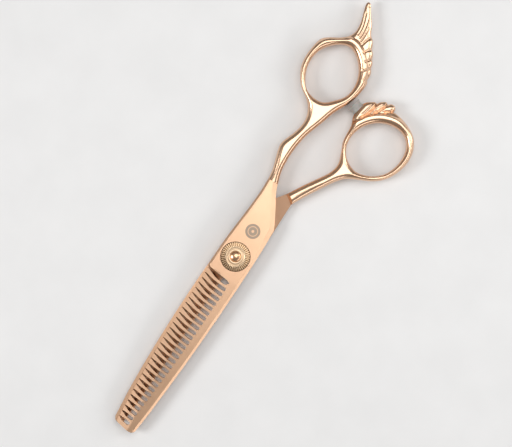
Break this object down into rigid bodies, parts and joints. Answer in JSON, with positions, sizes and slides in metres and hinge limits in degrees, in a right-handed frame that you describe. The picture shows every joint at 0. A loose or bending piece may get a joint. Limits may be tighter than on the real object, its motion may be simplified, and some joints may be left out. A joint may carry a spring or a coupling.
{
  "type": "thinning shears",
  "caption": "Hand shears with one toothed and one plain blade, offset ring handles, a fixed finger rest and a dial pivot, for thinning hair.",
  "frame": {"origin": "centre of the flat back face of the pivot bolt's head, on the pivot axis", "axes": "+X from the pivot towards the rings, +Y towards the finger ring, +Z along the pivot axis towards the dial"},
  "size_m": [0.1769, 0.0518, 0.0066],
  "materials": {
    "blade_steel": "satin, rose gold coated",
    "handle_steel": "polished, rose gold coated",
    "pivot_steel": "turned, rose gold coated",
    "washer_plastic": "natural",
    "spring_steel": "bright",
    "bush_bronze": "turned",
    "bumper_rubber": "translucent silicone"
  },
  "bodies": {
    "comb_half": {"comb_blade": "blade_steel", "finger_handle": "handle_steel", "pivot_bushing": "bush_bronze"},
    "thumb_half": {"straight_blade": "blade_steel", "thumb_handle": "handle_steel", "pivot_bolt": "pivot_steel", "blade_washer": "washer_plastic", "spring_washer": "spring_steel", "click_spring": "spring_steel", "bumper": "bumper_rubber", "bumper_screw": "pivot_steel"},
    "dial": {"tension_dial": "pivot_steel"}
  },
  "joints": [
    {"name": "blade_pivot", "type": "hinge", "parent": "comb_half", "child": "thumb_half", "pos_m": [0, 0, 0], "axis": [0, 0, -1], "range_deg": [0, 110]},
    {"name": "dial_turn", "type": "hinge", "parent": "thumb_half", "child": "dial", "pos_m": [0, 0, 0], "axis": [0, 0, 1], "range_deg": [-90, 90]}
  ]
}
